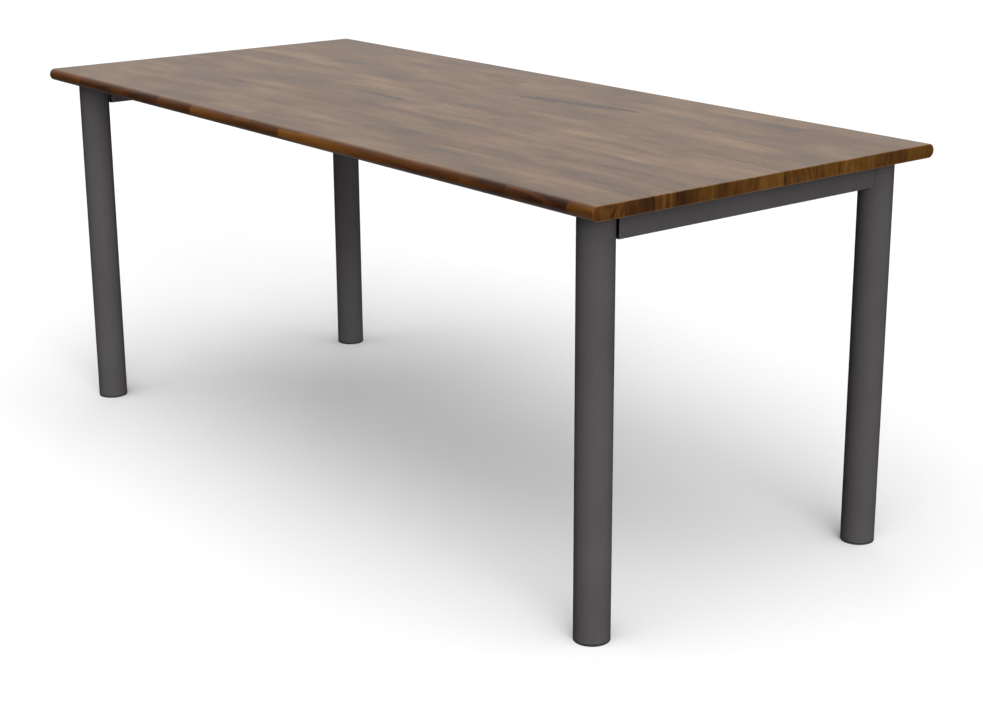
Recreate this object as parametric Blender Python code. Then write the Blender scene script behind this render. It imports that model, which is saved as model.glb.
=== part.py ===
"""Butcher block table: a glued wooden top on four round steel legs, braced by a crossbar at each end.

The frame stands on the floor: the origin is under the middle of the top, +X runs along the
table's length, -Y is its front and +Z is up. Each leg stands on a foot that screws in and out.
"""

from math import cos, pi, sin

import bmesh
import bpy

# Driving dimensions, in metres.
TABLE_LENGTH = 1.800
TABLE_WIDTH = 0.800
TABLE_HEIGHT = 0.750
TOP_THICKNESS = 0.025
END_EASING = 0.0015
STRIP_WIDTHS = (0.066, 0.062, 0.044, 0.056, 0.058, 0.074, 0.056, 0.080, 0.056, 0.088, 0.084, 0.076)

LEG_DIAMETER = 0.0625
LEG_WALL = 0.0015
LEG_INSET = 0.069

PLATE_SIZE = 0.092
PLATE_THICKNESS = 0.003
PLATE_CORNER = 0.008
PLATE_HOLE_DIAMETER = 0.040
SCREW_OFFSET = 0.033

BAR_WIDTH = 0.040
BAR_HEIGHT = 0.046
BAR_WALL = 0.0015
BAR_CORNER = 0.0025
BLOCK_LENGTH = 0.020
BLOCK_RECESS = 0.004

PAD_HEIGHT = 0.0042
PAD_EDGE = 0.0008
PAD_CHAMFER = 0.0004
PAD_FLOOR = 0.0018
STEM_DIAMETER = 0.010
STEM_LENGTH = 0.045
STEM_CLEARANCE = 0.0001
SOCKET_FLANGE = 0.006
SOCKET_HEIGHT = 0.020
SOCKET_BOSS_DIAMETER = 0.018

SCREW_SHANK_DIAMETER = 0.0044
SCREW_HEAD_DIAMETER = 0.009
SCREW_HEAD_HEIGHT = 0.0028
SCREW_TIP = 0.004
SCREW_BITE = 0.017
PILOT_DIAMETER = 0.005
SCREW_HOLE_DIAMETER = 0.0064

BOLT_SHANK_DIAMETER = 0.008
BOLT_HEAD_DIAMETER = 0.013
BOLT_HEAD_HEIGHT = 0.008
BOLT_REACH = 0.020
BOLT_HOLE_DIAMETER = 0.0088

# Pieces that touch keep this gap, and a cutter passes the face it opens by the overcut.
GAP = 0.0003
OVERCUT = 0.001

# Numbers of flats and steps that stand for the round shapes.
LEG_SEGMENTS = 48
FOOT_SEGMENTS = 32
HOLE_SEGMENTS = 24
BOLT_SEGMENTS = 16
SCREW_SEGMENTS = 12
NOSE_STEPS = 12
CORNER_STEPS = 4
EDGE_STEPS = 2
SMOOTH_ANGLE = pi / 6

# Places that follow from them.
NOSE_RADIUS = TOP_THICKNESS / 2
TOP_UNDERSIDE = TABLE_HEIGHT - TOP_THICKNESS
PLATE_BOTTOM = TOP_UNDERSIDE - GAP - PLATE_THICKNESS
LEG_TOP = PLATE_BOTTOM - GAP
LEG_BOTTOM = PAD_HEIGHT + GAP
LEG_RADIUS = LEG_DIAMETER / 2
LEG_BORE = LEG_RADIUS - LEG_WALL
LEG_X = TABLE_LENGTH / 2 - LEG_INSET
LEG_Y = TABLE_WIDTH / 2 - LEG_INSET
BAR_MIDDLE = LEG_TOP - BAR_HEIGHT / 2
BAR_START = LEG_RADIUS + GAP
BOLT_HEAD_FACE = LEG_BORE - 0.0014

# Each corner: its name, the side of the middle it is on, and the turn that points its +Y inwards.
CORNERS = (
    ("front_left", -1, -1, 0.0),
    ("front_right", 1, -1, 0.0),
    ("back_left", -1, 1, pi),
    ("back_right", 1, 1, pi),
)
SCREW_SIDES = ((-1, -1), (1, -1), (1, 1), (-1, 1))

ALONG_Y = (-pi / 2, 0.0, 0.0)


def clear_scene():
    """Remove every object that the scene starts with."""
    for thing in list(bpy.data.objects):
        bpy.data.objects.remove(thing, do_unlink=True)


def make_material(name, colour, roughness, metallic):
    """A plain Principled material of one colour."""
    material = bpy.data.materials.new(name)
    material.use_nodes = True
    shader = material.node_tree.nodes["Principled BSDF"]
    shader.inputs["Base Color"].default_value = (*colour, 1.0)
    shader.inputs["Roughness"].default_value = roughness
    shader.inputs["Metallic"].default_value = metallic
    material.diffuse_color = (*colour, 1.0)
    return material


def finish_mesh(name, shape):
    """Turn a bmesh into a mesh whose faces point outwards and whose round faces are smooth."""
    bmesh.ops.recalc_face_normals(shape, faces=shape.faces)
    mesh = bpy.data.meshes.new(name)
    shape.to_mesh(mesh)
    shape.free()
    mesh.shade_smooth()
    mesh.set_sharp_from_angle(angle=SMOOTH_ANGLE)
    return mesh


def place(name, mesh, material, location=(0.0, 0.0, 0.0), rotation=(0.0, 0.0, 0.0), parent=None):
    """Add a sub-part to the scene as its own object."""
    piece = bpy.data.objects.new(name, mesh)
    if not mesh.materials:
        mesh.materials.append(material)
    piece.location = location
    piece.rotation_euler = rotation
    piece.parent = parent
    bpy.context.collection.objects.link(piece)
    return piece


def place_cutter(name, mesh, location=(0.0, 0.0, 0.0), rotation=(0.0, 0.0, 0.0), parent=None):
    """Add a shape that only cuts others."""
    cutter = bpy.data.objects.new(name, mesh)
    cutter.location = location
    cutter.rotation_euler = rotation
    cutter.parent = parent
    cutter.display_type = "WIRE"
    cutter.hide_render = True
    bpy.context.collection.objects.link(cutter)
    return cutter


def cut(piece, cutter):
    """Cut a piece with a cutter by a Boolean modifier."""
    modifier = piece.modifiers.new(cutter.name, "BOOLEAN")
    modifier.operation = "DIFFERENCE"
    modifier.solver = "EXACT"
    modifier.object = cutter


def circle(radius, segments, centre=(0.0, 0.0)):
    """Outline of a circle, as points one segment apart."""
    angles = (2 * pi * step / segments for step in range(segments))
    return [(centre[0] + radius * cos(angle), centre[1] + radius * sin(angle)) for angle in angles]


def rounded_rectangle(width, height, radius):
    """Outline of a rectangle with round corners, centred on the origin."""
    points = []
    for corner, (side_x, side_y) in enumerate(((1, 1), (-1, 1), (-1, -1), (1, -1))):
        centre_x = side_x * (width / 2 - radius)
        centre_y = side_y * (height / 2 - radius)
        for step in range(CORNER_STEPS + 1):
            angle = (corner + step / CORNER_STEPS) * pi / 2
            points.append((centre_x + radius * cos(angle), centre_y + radius * sin(angle)))
    return points


def join_loops(shape, first, second):
    """Close the band between two loops of as many vertices with quads."""
    count = len(first)
    for index in range(count):
        after = (index + 1) % count
        shape.faces.new((first[index], first[after], second[after], second[index]))


def add_prism(shape, outline, low, high):
    """A solid with the same outline from one height to another."""
    bottom = [shape.verts.new((x, y, low)) for x, y in outline]
    top = [shape.verts.new((x, y, high)) for x, y in outline]
    join_loops(shape, bottom, top)
    shape.faces.new(bottom)
    shape.faces.new(top)


def prism_mesh(name, outlines, low, high):
    """One or more separate prisms between the same two heights."""
    shape = bmesh.new()
    for outline in outlines:
        add_prism(shape, outline, low, high)
    return finish_mesh(name, shape)


def tube_mesh(name, outer, inner, low, high):
    """A straight tube between an outer and an inner outline of as many points."""
    shape = bmesh.new()
    loops = []
    for outline, height in ((outer, low), (outer, high), (inner, high), (inner, low)):
        loops.append([shape.verts.new((x, y, height)) for x, y in outline])
    for index, loop in enumerate(loops):
        join_loops(shape, loop, loops[(index + 1) % len(loops)])
    return finish_mesh(name, shape)


def turned_mesh(name, profile, segments):
    """A solid turned about Z from a profile of (radius, height) points.

    The profile either starts and ends on the axis or is a closed ring around it.
    """
    shape = bmesh.new()
    points = [shape.verts.new((radius, 0.0, height)) for radius, height in profile]
    edges = [shape.edges.new(pair) for pair in zip(points, points[1:])]
    if profile[0][0] > 0.0:
        edges.append(shape.edges.new((points[-1], points[0])))
    bmesh.ops.spin(
        shape, geom=points + edges, cent=(0, 0, 0), axis=(0, 0, 1),
        angle=2 * pi, steps=segments, use_merge=True,
    )
    bmesh.ops.remove_doubles(shape, verts=shape.verts, dist=1e-6)
    return finish_mesh(name, shape)


def rounded_corner(centre_radius, centre_height, radius, start, steps):
    """Profile points of a quarter turn about a centre, from a start angle upwards."""
    angles = (start + step / steps * pi / 2 for step in range(steps + 1))
    return [(centre_radius + radius * cos(angle), centre_height + radius * sin(angle)) for angle in angles]


def strip_section(low_y, high_y, inset, nose):
    """Cross-section of one strip of the top, as (y, height above its middle) points.

    A glued side is flat and a side that ends the top is half round, its radius half the
    thickness. The inset draws in the top, the bottom and the half round, not a glued side.
    """
    radius = NOSE_RADIUS - inset
    if nose == "low":
        angles = (pi / 2 + step / NOSE_STEPS * pi for step in range(NOSE_STEPS + 1))
        round_side = [(low_y + NOSE_RADIUS + radius * cos(angle), radius * sin(angle)) for angle in angles]
        return round_side + [(high_y, -radius), (high_y, radius)]
    if nose == "high":
        angles = (-pi / 2 + step / NOSE_STEPS * pi for step in range(NOSE_STEPS + 1))
        round_side = [(high_y - NOSE_RADIUS + radius * cos(angle), radius * sin(angle)) for angle in angles]
        return round_side + [(low_y, radius), (low_y, -radius)]
    return [(low_y, -radius), (high_y, -radius), (high_y, radius), (low_y, radius)]


def strip_mesh(name, low_y, high_y, nose):
    """One strip along the table's length, with a small round easing at both ends."""
    easing = []
    for step in range(EDGE_STEPS + 1):
        angle = step / EDGE_STEPS * pi / 2
        x = TABLE_LENGTH / 2 - END_EASING * (1 - sin(angle))
        easing.append((x, END_EASING * (1 - cos(angle))))
    stations = [(-x, inset) for x, inset in reversed(easing)] + easing
    shape = bmesh.new()
    loops = []
    for x, inset in stations:
        section = strip_section(low_y, high_y, inset, nose)
        loops.append([shape.verts.new((x, y, height)) for y, height in section])
    for first, second in zip(loops, loops[1:]):
        join_loops(shape, first, second)
    shape.faces.new(loops[0])
    shape.faces.new(loops[-1])
    return finish_mesh(name, shape)


def build_top(material):
    """The strips of the top, side by side, and the pilot holes of the screws that hold it."""
    centres = [
        (side_x * LEG_X + x * SCREW_OFFSET, side_y * LEG_Y + y * SCREW_OFFSET)
        for _, side_x, side_y, _ in CORNERS for x, y in SCREW_SIDES
    ]
    pilots = [circle(PILOT_DIAMETER / 2, SCREW_SEGMENTS, centre) for centre in centres]
    pilot_mesh = prism_mesh("pilot_holes", pilots, -OVERCUT, SCREW_BITE + GAP)
    pilot_cutter = place_cutter("pilot_holes", pilot_mesh, (0.0, 0.0, TOP_UNDERSIDE))
    last = len(STRIP_WIDTHS) - 1
    edge = -TABLE_WIDTH / 2
    for number, width in enumerate(STRIP_WIDTHS):
        low_y = edge + (GAP / 2 if number > 0 else 0.0)
        high_y = edge + width - (GAP / 2 if number < last else 0.0)
        nose = {0: "low", last: "high"}.get(number, "none")
        name = f"top_strip_{number + 1:02d}"
        mesh = strip_mesh(name, low_y, high_y, nose)
        strip = place(name, mesh, material, (0.0, 0.0, TOP_UNDERSIDE + TOP_THICKNESS / 2))
        if any(low_y < y < high_y for _, y in centres):
            cut(strip, pilot_cutter)
        edge += width


def build_corner_meshes():
    """The meshes that the four corners share."""
    stem_radius = STEM_DIAMETER / 2
    bore = stem_radius + STEM_CLEARANCE
    pad_edge = rounded_corner(LEG_RADIUS - PAD_EDGE, PAD_EDGE, PAD_EDGE, -pi / 2, EDGE_STEPS)
    pad = [(0.0, 0.0)] + pad_edge + [
        (LEG_RADIUS, PAD_HEIGHT - PAD_CHAMFER),
        (LEG_RADIUS - PAD_CHAMFER, PAD_HEIGHT),
        (bore, PAD_HEIGHT),
        (bore, PAD_FLOOR),
        (0.0, PAD_FLOOR),
    ]
    stem = [(0.0, 0.0), (stem_radius, 0.0), (stem_radius, STEM_LENGTH), (0.0, STEM_LENGTH)]
    socket = [
        (bore, 0.0),
        (LEG_BORE - GAP, 0.0),
        (LEG_BORE - GAP, SOCKET_FLANGE),
        (SOCKET_BOSS_DIAMETER / 2, SOCKET_FLANGE),
        (SOCKET_BOSS_DIAMETER / 2, SOCKET_HEIGHT),
        (bore, SOCKET_HEIGHT),
    ]
    head = SCREW_HEAD_DIAMETER / 2
    shank = SCREW_SHANK_DIAMETER / 2
    tip = PLATE_THICKNESS + GAP + SCREW_BITE
    screw = [
        (0.0, -GAP - SCREW_HEAD_HEIGHT),
        (head * 0.6, -GAP - SCREW_HEAD_HEIGHT),
        (head, -GAP - SCREW_HEAD_HEIGHT / 2),
        (head, -GAP),
        (shank, -GAP),
        (shank, tip - SCREW_TIP),
        (0.0, tip),
    ]
    bolt = [
        (0.0, -BOLT_HEAD_HEIGHT),
        (BOLT_HEAD_DIAMETER / 2, -BOLT_HEAD_HEIGHT),
        (BOLT_HEAD_DIAMETER / 2, 0.0),
        (BOLT_SHANK_DIAMETER / 2, 0.0),
        (BOLT_SHANK_DIAMETER / 2, BOLT_REACH),
        (0.0, BOLT_REACH),
    ]
    block_width = BAR_WIDTH - 2 * (BAR_WALL + GAP)
    block_height = BAR_HEIGHT - 2 * (BAR_WALL + GAP)
    plate_holes = [circle(PLATE_HOLE_DIAMETER / 2, HOLE_SEGMENTS)]
    for x, y in SCREW_SIDES:
        centre = (x * SCREW_OFFSET, y * SCREW_OFFSET)
        plate_holes.append(circle(SCREW_HOLE_DIAMETER / 2, SCREW_SEGMENTS, centre))
    leg_outer = circle(LEG_RADIUS, LEG_SEGMENTS)
    leg_inner = circle(LEG_BORE, LEG_SEGMENTS)
    plate_outline = rounded_rectangle(PLATE_SIZE, PLATE_SIZE, PLATE_CORNER)
    block_outline = rounded_rectangle(block_width, block_height, BAR_CORNER)
    bolt_hole = circle(BOLT_HOLE_DIAMETER / 2, BOLT_SEGMENTS)
    return {
        "pad": turned_mesh("foot_pad", pad, FOOT_SEGMENTS),
        "stem": turned_mesh("foot_screw", stem, FOOT_SEGMENTS),
        "socket": turned_mesh("foot_socket", socket, FOOT_SEGMENTS),
        "leg": tube_mesh("leg", leg_outer, leg_inner, LEG_BOTTOM, LEG_TOP),
        "plate": prism_mesh("leg_plate", [plate_outline], 0.0, PLATE_THICKNESS),
        "plate_holes": prism_mesh("plate_holes", plate_holes, -OVERCUT, PLATE_THICKNESS + OVERCUT),
        "screw": turned_mesh("plate_screw", screw, SCREW_SEGMENTS),
        "block": prism_mesh("crossbar_block", [block_outline], 0.0, BLOCK_LENGTH),
        "bolt": turned_mesh("crossbar_bolt", bolt, BOLT_SEGMENTS),
        "bolt_hole": prism_mesh("bolt_hole", [bolt_hole], 0.0, LEG_RADIUS + BLOCK_RECESS + BLOCK_LENGTH),
    }


def build_corner(corner, meshes, materials):
    """One leg with its plate and screws, its screw foot, and its bolt into the crossbar."""
    name, side_x, side_y, turn = corner
    axis = bpy.data.objects.new(f"corner_{name}", None)
    axis.location = (side_x * LEG_X, side_y * LEG_Y, 0.0)
    axis.rotation_euler = (0.0, 0.0, turn)
    bpy.context.collection.objects.link(axis)

    coated = materials["charcoal_coating"]
    plastic = materials["black_plastic"]
    zinc = materials["zinc_plating"]

    bolt_hole = place_cutter(
        f"bolt_hole_{name}", meshes["bolt_hole"], (0.0, LEG_RADIUS / 2, BAR_MIDDLE), ALONG_Y, axis)
    plate_holes = place_cutter(
        f"plate_holes_{name}", meshes["plate_holes"], (0.0, 0.0, PLATE_BOTTOM), parent=axis)

    leg = place(f"leg_{name}", meshes["leg"], coated, parent=axis)
    cut(leg, bolt_hole)
    plate = place(f"leg_plate_{name}", meshes["plate"], coated, (0.0, 0.0, PLATE_BOTTOM), parent=axis)
    cut(plate, plate_holes)
    for number, (x, y) in enumerate(SCREW_SIDES, start=1):
        spot = (x * SCREW_OFFSET, y * SCREW_OFFSET, PLATE_BOTTOM)
        place(f"plate_screw_{name}_{number}", meshes["screw"], zinc, spot, parent=axis)

    place(f"foot_socket_{name}", meshes["socket"], plastic, (0.0, 0.0, LEG_BOTTOM), parent=axis)
    stem_start = PAD_FLOOR + GAP
    place(f"foot_screw_{name}", meshes["stem"], zinc, (0.0, 0.0, stem_start), parent=axis)
    place(f"foot_pad_{name}", meshes["pad"], plastic, parent=axis)

    block_spot = (0.0, BAR_START + BLOCK_RECESS, BAR_MIDDLE)
    block = place(f"crossbar_block_{name}", meshes["block"], zinc, block_spot, ALONG_Y, axis)
    cut(block, bolt_hole)
    bolt_spot = (0.0, BOLT_HEAD_FACE, BAR_MIDDLE)
    place(f"crossbar_bolt_{name}", meshes["bolt"], zinc, bolt_spot, ALONG_Y, axis)


def build_crossbars(material):
    """The two rectangular tubes that join the legs at each end, just under the top."""
    inner_corner = BAR_CORNER / 2
    outer = rounded_rectangle(BAR_WIDTH, BAR_HEIGHT, BAR_CORNER)
    inner = rounded_rectangle(BAR_WIDTH - 2 * BAR_WALL, BAR_HEIGHT - 2 * BAR_WALL, inner_corner)
    half_length = LEG_Y - BAR_START
    mesh = tube_mesh("crossbar", outer, inner, -half_length, half_length)
    for name, side_x in (("left", -1), ("right", 1)):
        place(f"crossbar_{name}", mesh, material, (side_x * LEG_X, 0.0, BAR_MIDDLE), ALONG_Y)


def build_table():
    """The whole table."""
    clear_scene()
    materials = {
        "oiled_walnut": make_material("oiled_walnut", (0.155, 0.085, 0.045), 0.38, 0.0),
        "charcoal_coating": make_material("charcoal_coating", (0.052, 0.050, 0.051), 0.42, 0.0),
        "black_plastic": make_material("black_plastic", (0.030, 0.030, 0.031), 0.55, 0.0),
        "zinc_plating": make_material("zinc_plating", (0.62, 0.62, 0.60), 0.35, 1.0),
    }
    build_top(materials["oiled_walnut"])
    build_crossbars(materials["charcoal_coating"])
    meshes = build_corner_meshes()
    for corner in CORNERS:
        build_corner(corner, meshes, materials)


build_table()
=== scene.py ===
"""Butcher block table: the looks of a glued walnut top on four round steel legs.

The file is laid out as an add-on and is run as a script. The first operator sets the floor, light
and camera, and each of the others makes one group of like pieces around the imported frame.
"""

from math import pi, radians

import bpy
import numpy as np
from bpy.props import FloatProperty, FloatVectorProperty, IntProperty, PointerProperty
from bpy.types import Operator, Panel, PropertyGroup
from mathutils import Matrix, Vector


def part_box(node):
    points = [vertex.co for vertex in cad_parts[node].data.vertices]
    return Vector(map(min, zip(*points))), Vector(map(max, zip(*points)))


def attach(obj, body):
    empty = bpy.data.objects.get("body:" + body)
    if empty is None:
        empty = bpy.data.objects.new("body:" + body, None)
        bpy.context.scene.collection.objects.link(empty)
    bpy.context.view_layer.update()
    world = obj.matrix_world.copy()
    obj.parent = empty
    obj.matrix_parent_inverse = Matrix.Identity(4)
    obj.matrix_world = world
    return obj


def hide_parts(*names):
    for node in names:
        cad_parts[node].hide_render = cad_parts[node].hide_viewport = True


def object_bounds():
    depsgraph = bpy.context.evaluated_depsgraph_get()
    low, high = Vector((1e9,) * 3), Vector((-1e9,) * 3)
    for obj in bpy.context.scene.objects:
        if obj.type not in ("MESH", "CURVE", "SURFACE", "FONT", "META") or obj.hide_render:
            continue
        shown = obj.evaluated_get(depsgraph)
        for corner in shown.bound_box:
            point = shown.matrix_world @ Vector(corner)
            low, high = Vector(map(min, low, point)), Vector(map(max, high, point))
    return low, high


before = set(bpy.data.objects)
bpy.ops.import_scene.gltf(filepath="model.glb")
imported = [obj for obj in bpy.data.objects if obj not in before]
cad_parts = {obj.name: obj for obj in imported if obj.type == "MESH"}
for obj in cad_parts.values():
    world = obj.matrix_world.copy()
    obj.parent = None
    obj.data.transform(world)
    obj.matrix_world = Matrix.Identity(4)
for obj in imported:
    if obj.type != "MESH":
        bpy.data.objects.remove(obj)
CAD_LOW, CAD_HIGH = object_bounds()

bl_info = {
    "name": "Butcher Block Table",
    "version": (1, 0, 0),
    "blender": (4, 5, 0),
    "location": "3D View > Sidebar > Butcher Block Table",
    "description": "Builds a glued walnut top on four round steel legs with levelling feet",
    "category": "Add Mesh",
}

CORNERS = ("front_left", "front_right", "back_left", "back_right")
ENDS = ("left", "right")
STRIPS = sorted(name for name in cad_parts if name.startswith("top_strip_"))
MM = 0.001
TAU = 2.0 * pi
SHARP_ANGLE = radians(32.0)
TOP_HEIGHT = CAD_HIGH.z

# Directions from the table to the key light, the low lights at the front right and the back left,
# the brighter side of the dome, and the sheet of light behind the table that only shows as a gloss.
KEY_SIDE = (0.72, -0.72, 2.40)
FRONT_SIDE = (0.91, -0.41, 0.17)
BACK_SIDE = (-0.77, 0.64, 0.01)
DOME_SIDE = (0.64, 0.77, 0.0)
REAR_SIDE = (-0.74, 0.61, 0.28)

# How wide the key light, the front light and the back light look from the table, in degrees.
KEY_WIDTH, FRONT_WIDTH, BACK_WIDTH = 88.0, 45.0, 14.0

# Where the camera stands over the floor, how it is tilted and turned in degrees, and its shift.
CAMERA_SPOT = (2.9234, -2.2060)
CAMERA_TILT, CAMERA_TURN = 73.80, 50.344
CAMERA_SHIFT = (-0.0351, -0.0328)


# ---------------------------------------------------------------- settings

def colour(name, description, default):
    """A colour setting in linear light."""
    return FloatVectorProperty(name=name, description=description, default=default,
                               subtype="COLOR", size=3, min=0.0, max=1.0)


def length(name, description, default, low=0.0, high=10.0):
    """A length setting in metres."""
    return FloatProperty(name=name, description=description, default=default,
                         min=low, max=high, unit="LENGTH", precision=5)


def factor(name, description, default):
    """A setting from 0 to 1."""
    return FloatProperty(name=name, description=description, default=default,
                         min=0.0, max=1.0, subtype="FACTOR")


def brightness(name, description, default):
    """The strength of a light."""
    return FloatProperty(name=name, description=description, default=default, min=0.0, max=20.0)


class TableTopSettings(PropertyGroup):
    """Sizes and colours of the walnut top."""

    dark_wood: colour("Dark wood", "Colour of the darkest heartwood", (0.036, 0.014, 0.006))
    middle_wood: colour("Middle wood", "Colour of the common heartwood", (0.124, 0.065, 0.028))
    light_wood: colour("Light wood", "Colour of the lightest bands", (0.240, 0.150, 0.080))
    # Painted shade: these two tints multiply the colour of the long edges and of the end grain, to darken
    # the sides against the top.
    edge_shade_tint: colour("Shaded edge", "Tint of the long edges, which take up more oil",
                        (0.80, 0.48, 0.07))
    end_shade_tint: colour("Shaded end", "Tint of the end grain", (0.56, 0.40, 0.11))
    arris: length("Arris", "Width of the tiny bevel along each glue line", 0.00010, 0.00001, 0.0005)
    joint_depth: length("Joint depth", "Depth of the hairline where two staves meet", 0.00008, 0.0, 0.0005)
    joint_width: length("Joint width", "Half width of that hairline", 0.00015, 0.00005, 0.001)
    end_easing: length("End easing", "Radius worked on the edges of both short ends", 0.0015, 0.0005, 0.003)
    shortest_stave: length("Shortest stave", "Least length of a stave in a strip", 0.14, 0.05, 1.0)
    longest_stave: length("Longest stave", "Greatest length of a stave in a strip", 0.52, 0.1, 1.8)
    seed: IntProperty(name="Seed", description="Order of the staves and their tones", default=11, min=0)
    roughness: factor("Roughness", "Roughness of the oiled surface", 0.40)


class SteelSettings(PropertyGroup):
    """Sizes and colours of the coated steel legs and end rails."""

    coating: colour("Coating", "Colour of the charcoal powder coating", (0.074, 0.069, 0.070))
    worn: colour("Worn edge", "Colour of the coating where an edge is rubbed", (0.180, 0.170, 0.172))
    rim_easing: length("Rim easing", "Radius of the rims of the legs", 0.0006, 0.0001, 0.001)
    weld_size: length("Weld size", "Radius of the weld bead round each leg's head", 0.0022, 0.0005, 0.003)
    roughness: factor("Roughness", "Roughness of the powder coating", 0.46)


class FittingSettings(PropertyGroup):
    """Sizes and colours of the screws, bolts and levelling feet."""

    zinc: colour("Zinc", "Colour of the zinc plating", (0.58, 0.58, 0.56))
    plastic: colour("Plastic", "Colour of the black foot plastic", (0.028, 0.028, 0.029))
    stem_pitch: length("Stem pitch", "Rise of the foot screw in one turn", 0.0015, 0.0005, 0.003)
    screw_pitch: length("Screw pitch", "Rise of the wood screw in one turn", 0.0018, 0.0005, 0.003)
    bolt_pitch: length("Bolt pitch", "Rise of the rail bolt in one turn", 0.00125, 0.0005, 0.003)


class StageSettings(PropertyGroup):
    """Floor, light and camera."""

    floor_colour: colour("Floor", "Colour of the pale floor", (0.88, 0.88, 0.88))
    camera_height: length("Camera height", "Height of the camera over the floor", 1.3601, 0.1, 10.0)
    lens: FloatProperty(name="Lens", description="Focal length on a 36 mm wide sensor", default=68.26,
                        min=10.0, max=300.0, unit="CAMERA")
    key_strength: brightness("Key light", "Strength of the overhead key light", 2.9)
    front_strength: brightness("Front light", "Strength of the low light at the front right", 3.1)
    back_strength: brightness("Back light", "Strength of the low light at the back left", 1.5)
    dome_strength: brightness("Dome", "Brightness of the surrounding white dome", 0.20)
    rear_strength: brightness("Rear sheet", "Brightness of the gloss from behind the table", 0.78)
    ground_glow: brightness("Ground glow", "Brightness of the dome below the horizon", 0.05)
    floor_bounce: brightness("Floor bounce", "Brightness of the dome straight below", 0.45)
    dome_lean: factor("Dome lean", "How much brighter the dome is at the right back", 0.40)


# ---------------------------------------------------------------- surfaces

def grid_mesh(name, points, ring=False):
    """A closed mesh from a grid of points with shape (rows, columns, 3).

    Vertex (i, j) joins (i + 1, j) and (i, j + 1). The columns always close on themselves. As a
    ring the rows do too, and otherwise one flat face closes the first row and one the last.
    The faces are turned outwards by the sign of the volume, the sum of a . (b x c) / 6.
    """
    rows, columns = points.shape[:2]
    index = np.arange(rows * columns).reshape(rows, columns)
    around = np.concatenate([index, index[:, :1]], axis=1)
    if ring:
        around = np.concatenate([around, around[:1]], axis=0)
    quads = np.stack([around[:-1, :-1], around[1:, :-1], around[1:, 1:], around[:-1, 1:]], axis=-1)
    quads = quads.reshape(-1, 4)
    flat = points.reshape(-1, 3)
    a, b, c, d = (flat[quads[:, k]] for k in range(4))
    volume = (a * np.cross(b, c)).sum() + (a * np.cross(c, d)).sum()
    caps = [] if ring else [index[0], index[-1][::-1]]
    for cap in caps:
        first, second, third = flat[cap[0]], flat[cap[1:-1]], flat[cap[2:]]
        volume += (first * np.cross(second, third)).sum()
    faces = quads.tolist() + [cap.tolist() for cap in caps]
    if volume < 0.0:
        faces = [face[::-1] for face in faces]
    mesh = bpy.data.meshes.new(name)
    mesh.from_pydata(flat.tolist(), [], faces)
    mesh.shade_smooth()
    mesh.set_sharp_from_angle(angle=SHARP_ANGLE)
    mesh.update()
    return mesh


def turns(count):
    """Angles of a full turn: angle k is 2 pi k / count."""
    return TAU * np.arange(count) / count


def circle(turn):
    """Points of the unit circle: (cos t, sin t)."""
    return np.stack([np.cos(turn), np.sin(turn)], axis=-1)


def arc(centre, radius, start, stop, steps):
    """Points of an arc: centre + radius (cos t, sin t), with t from start to stop."""
    return np.asarray(centre) + radius * circle(np.linspace(start, stop, steps + 1))


def rounded_rectangle(width, height, radius, steps):
    """Outline of a rectangle with round corners: each corner's centre plus a quarter circle."""
    corners = [
        arc((side_x * (width / 2 - radius), side_y * (height / 2 - radius)), radius,
            quarter * pi / 2, (quarter + 1) * pi / 2, steps)
        for quarter, (side_x, side_y) in enumerate(((1, 1), (-1, 1), (-1, -1), (1, -1)))
    ]
    return np.concatenate(corners)


def round_hole(radius, steps):
    """Outline of a hole with one point for each point of a rounded rectangle of as many steps."""
    count = 4 * (steps + 1)
    return radius * circle(pi / 4 + (np.arange(count) - steps / 2) * TAU / count)


def wrapped(radius, turn, height):
    """Points (r cos t, r sin t, h) from whole arrays of radii, angles and heights."""
    radius, turn, height = np.broadcast_arrays(radius, turn, height)
    return np.stack([radius * np.cos(turn), radius * np.sin(turn), height], axis=-1)


def turned(profile, count):
    """Surface of revolution: the point (r, h) of the profile goes to (r cos t, r sin t, h)."""
    profile = np.asarray(profile, float)
    return wrapped(profile[:, :1], turns(count), profile[:, 1:])


def lofted(outlines, heights):
    """Surface through outlines of as many points, each at its own height."""
    outlines = np.asarray(outlines)
    points = np.empty((*outlines.shape[:2], 3))
    points[..., :2] = outlines
    points[..., 2] = np.asarray(heights, float)[:, None]
    return points


def thread_ridge(turn, height, pitch):
    """Height of a thread's ridge, 0 at the root and 1 at the crest.

    The phase is height / pitch - turn / (2 pi), and the ridge is a triangle wave with its tip and
    root cut flat.
    """
    phase = (height / pitch - turn / TAU) % 1.0
    return np.clip(1.3 - 3.2 * np.abs(phase - 0.5), 0.0, 1.0)


def smooth_step(value, low, high):
    """0 below low, 1 above high and 3 t^2 - 2 t^3 between."""
    t = np.clip((value - low) / (high - low), 0.0, 1.0)
    return t * t * (3.0 - 2.0 * t)


def set_corner_values(mesh, name, values):
    """Store one number for each face corner."""
    attribute = mesh.attributes.new(name, "FLOAT", "CORNER")
    attribute.data.foreach_set("value", np.asarray(values, np.float32))


def corner_layout(mesh):
    """For each face corner: its vertex's place, its face's middle and its face's normal."""
    vertex = np.empty(len(mesh.loops), np.int32)
    mesh.loops.foreach_get("vertex_index", vertex)
    total = np.empty(len(mesh.polygons), np.int32)
    mesh.polygons.foreach_get("loop_total", total)
    place = np.empty(len(mesh.vertices) * 3)
    mesh.vertices.foreach_get("co", place)
    middle = np.empty(len(mesh.polygons) * 3)
    mesh.polygons.foreach_get("center", middle)
    normal = np.empty(len(mesh.polygons) * 3)
    mesh.polygons.foreach_get("normal", normal)
    return (place.reshape(-1, 3)[vertex], np.repeat(middle.reshape(-1, 3), total, axis=0),
            np.repeat(normal.reshape(-1, 3), total, axis=0))


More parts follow.
